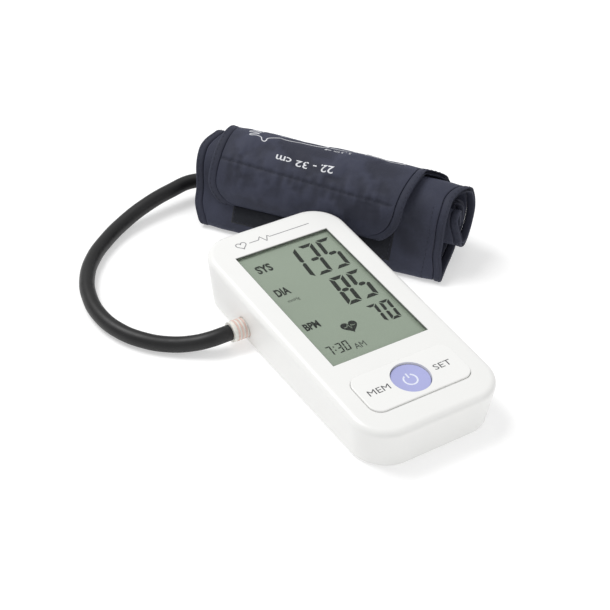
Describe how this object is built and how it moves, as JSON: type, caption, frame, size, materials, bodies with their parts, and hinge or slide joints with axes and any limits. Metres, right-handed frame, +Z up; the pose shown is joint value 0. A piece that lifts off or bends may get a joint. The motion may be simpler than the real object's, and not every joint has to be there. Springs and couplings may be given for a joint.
{
  "type": "blood_pressure_cuff_set",
  "caption": "Upper-arm blood pressure cuff, rolled, with its air hose and white battery monitor with display, start button and rocker key",
  "frame": {"origin": "middle of the monitor's flat underside, on the table", "axes": "+X to the right across the monitor, +Y from the keys to the rear, +Z up"},
  "size_m": [0.2048, 0.2356, 0.0488],
  "materials": {
    "white_case": "satin injection-moulded ABS",
    "white_key": "satin moulded key panel",
    "blue_button": "lilac-blue moulded button",
    "clear_lens": "clear polycarbonate window",
    "lcd_glass": "grey-green reflective LCD",
    "inner_plastic": "natural moulded plastic",
    "black_plastic": "black moulded plastic",
    "board": "green glass-epoxy board with solder mask",
    "elastomer": "soft silicone rubber",
    "black_rubber": "black flexible hose rubber",
    "pink_rubber": "pale pink seal rubber",
    "steel": "bright steel",
    "brass_metal": "brass",
    "cell_jacket": "printed cell jacket",
    "magnet": "sintered ferrite",
    "copper_coil": "enamelled copper winding",
    "plug_plastic": "translucent off-white plug",
    "cuff_nylon": "dark slate-blue nylon",
    "loop_fabric": "brushed loop pile",
    "hook_fabric": "moulded hook tape",
    "binding_tape": "woven binding tape",
    "bladder_film": "translucent air bladder film"
  },
  "bodies": {
    "monitor": {"top_cover": "white_case", "bottom_cover": "white_case", "rubber_feet": "elastomer", "case_screws": "steel", "board_screws": "steel", "display_lens": "clear_lens", "lcd_panel": "lcd_glass", "lcd_frame": "inner_plastic", "lcd_connector_strips": "pink_rubber", "main_board": "board", "board_chips": "black_plastic", "key_frame": "inner_plastic", "key_mat": "elastomer", "battery_cells": "cell_jacket", "battery_springs": "steel", "battery_contacts": "steel", "motor_can": "steel", "motor_end_cap": "black_plastic", "motor_magnets": "magnet", "pump_head": "black_plastic", "pump_diaphragm": "elastomer", "pump_sleeve": "black_rubber", "valve_body": "steel", "valve_coil": "copper_coil", "valve_spring": "steel", "air_socket": "inner_plastic", "socket_o_ring": "pink_rubber", "air_manifold": "inner_plastic", "air_tubes": "elastomer", "pressure_sensor": "black_plastic", "buzzer": "black_plastic"},
    "start_button": {"start_button": "blue_button"},
    "rocker_key": {"rocker_key": "white_key"},
    "battery_door": {"battery_door": "white_case"},
    "pump_rotor": {"motor_armature": "copper_coil", "pump_shaft": "steel", "pump_eccentric": "inner_plastic"},
    "valve_plunger": {"valve_plunger": "steel", "valve_seal": "pink_rubber"},
    "air_plug": {"air_plug": "plug_plastic", "plug_rings": "pink_rubber", "hose_front": "black_rubber"},
    "cuff": {"hose_rear": "black_rubber", "hose_port": "inner_plastic", "cuff_outer_cover": "cuff_nylon", "cuff_lining": "cuff_nylon", "air_bladder": "bladder_film", "loop_patch": "loop_fabric", "cuff_edge_binding": "binding_tape"},
    "cuff_flap": {"flap_cover": "cuff_nylon", "flap_lining": "cuff_nylon", "hook_patch": "hook_fabric", "flap_binding": "binding_tape"}
  },
  "joints": [
    {"name": "start_press", "type": "slide", "parent": "monitor", "child": "start_button", "axis": [0, 0.0441, -0.999], "range_m": [0, 0.001]},
    {"name": "rocker_tilt", "type": "hinge", "parent": "monitor", "child": "rocker_key", "pos_m": [0, -0.05205, 0.0205], "axis": [0, 0.999, 0.0441], "range_deg": [-1.8, 1.8]},
    {"name": "door_hinge", "type": "hinge", "parent": "monitor", "child": "battery_door", "pos_m": [0, -0.0115, 0.0015], "axis": [1, 0, 0], "range_deg": [0, 75]},
    {"name": "pump_spin", "type": "hinge", "parent": "monitor", "child": "pump_rotor", "pos_m": [0.017, 0.03, 0.0107], "axis": [0, 1, 0], "continuous": true},
    {"name": "valve_stroke", "type": "slide", "parent": "monitor", "child": "valve_plunger", "axis": [0, 1, 0], "range_m": [0, 0.0008], "deforming": ["valve_spring"]},
    {"name": "plug_pull", "type": "slide", "parent": "monitor", "child": "air_plug", "axis": [-1, 0, 0], "range_m": [0, 0.012]},
    {"name": "hose_flex", "type": "hinge", "parent": "air_plug", "child": "cuff", "pos_m": [-0.092, 0.08, 0.0041], "axis": [0, 0, 1], "range_deg": [0, 9.5]},
    {"name": "flap_peel", "type": "hinge", "parent": "cuff", "child": "cuff_flap", "pos_m": [0.06515, 0.10775, 0.022], "axis": [-0.6143, 0.7891, 0], "range_deg": [0, 75]}
  ],
  "couplings": [
    {"joint": "hose_flex", "follows": "plug_pull", "rad_per_m": 13.8}
  ]
}
